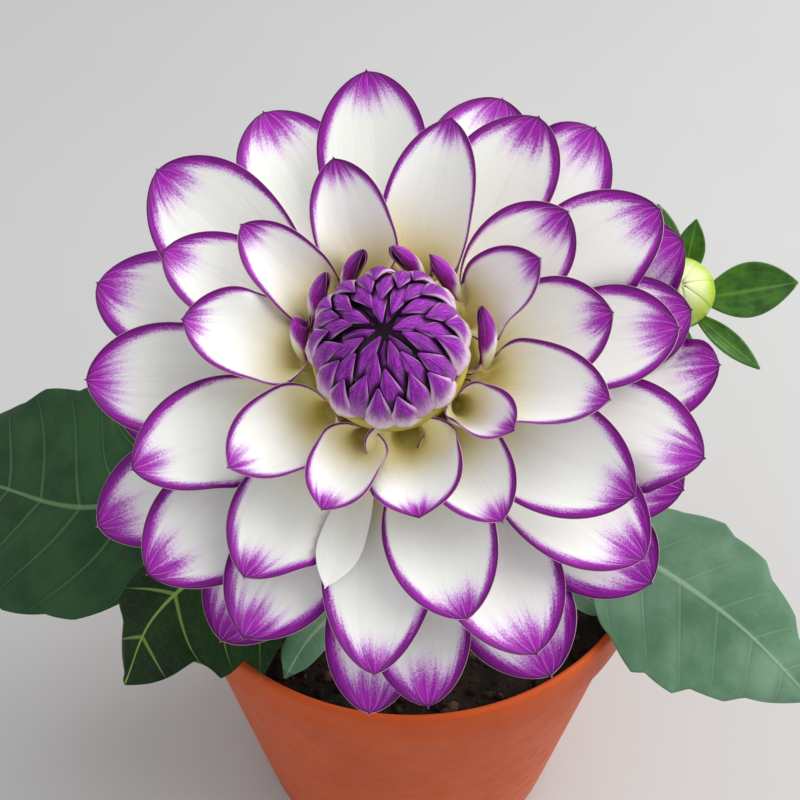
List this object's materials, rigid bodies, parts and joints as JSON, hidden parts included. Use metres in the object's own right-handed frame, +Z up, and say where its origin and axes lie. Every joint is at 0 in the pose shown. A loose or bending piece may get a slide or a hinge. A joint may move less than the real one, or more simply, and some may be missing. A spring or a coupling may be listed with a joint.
{
  "type": "potted dahlia",
  "caption": "Dahlia in a plain tapered nursery pot: a large layered bloom of cupped petals leaning forwards on a short stem, a side bud and broad toothed leaves.",
  "frame": {"origin": "centre of the pot's flat underside", "axes": "+Z up out of the pot, -Y towards the side the bloom leans to, +X to the right seen from that side"},
  "size_m": [0.3119, 0.2266, 0.3056],
  "materials": {
    "pot_plastic": "satin",
    "compost": "matte",
    "stem_green": "satin",
    "bract_green": "satin",
    "petal_white": "matte",
    "heart_violet": "satin",
    "bud_cream": "satin",
    "leaf_dark": "satin",
    "leaf_glossy": "satin",
    "leaf_sage": "matte"
  },
  "bodies": {
    "root": {"pot": "pot_plastic", "compost": "compost", "stem": "stem_green", "bloom_calyx": "bract_green", "bloom_petals": "petal_white", "bloom_heart": "heart_violet", "bud_stem": "stem_green", "bud_calyx": "bract_green", "bud_ball": "bud_cream", "leaf_left": "leaf_dark", "leaf_right": "leaf_sage", "leaf_front_left": "leaf_glossy", "leaf_back_right": "leaf_dark", "leaf_small_front": "leaf_sage", "leaf_small_right": "leaf_sage"}
  },
  "joints": []
}
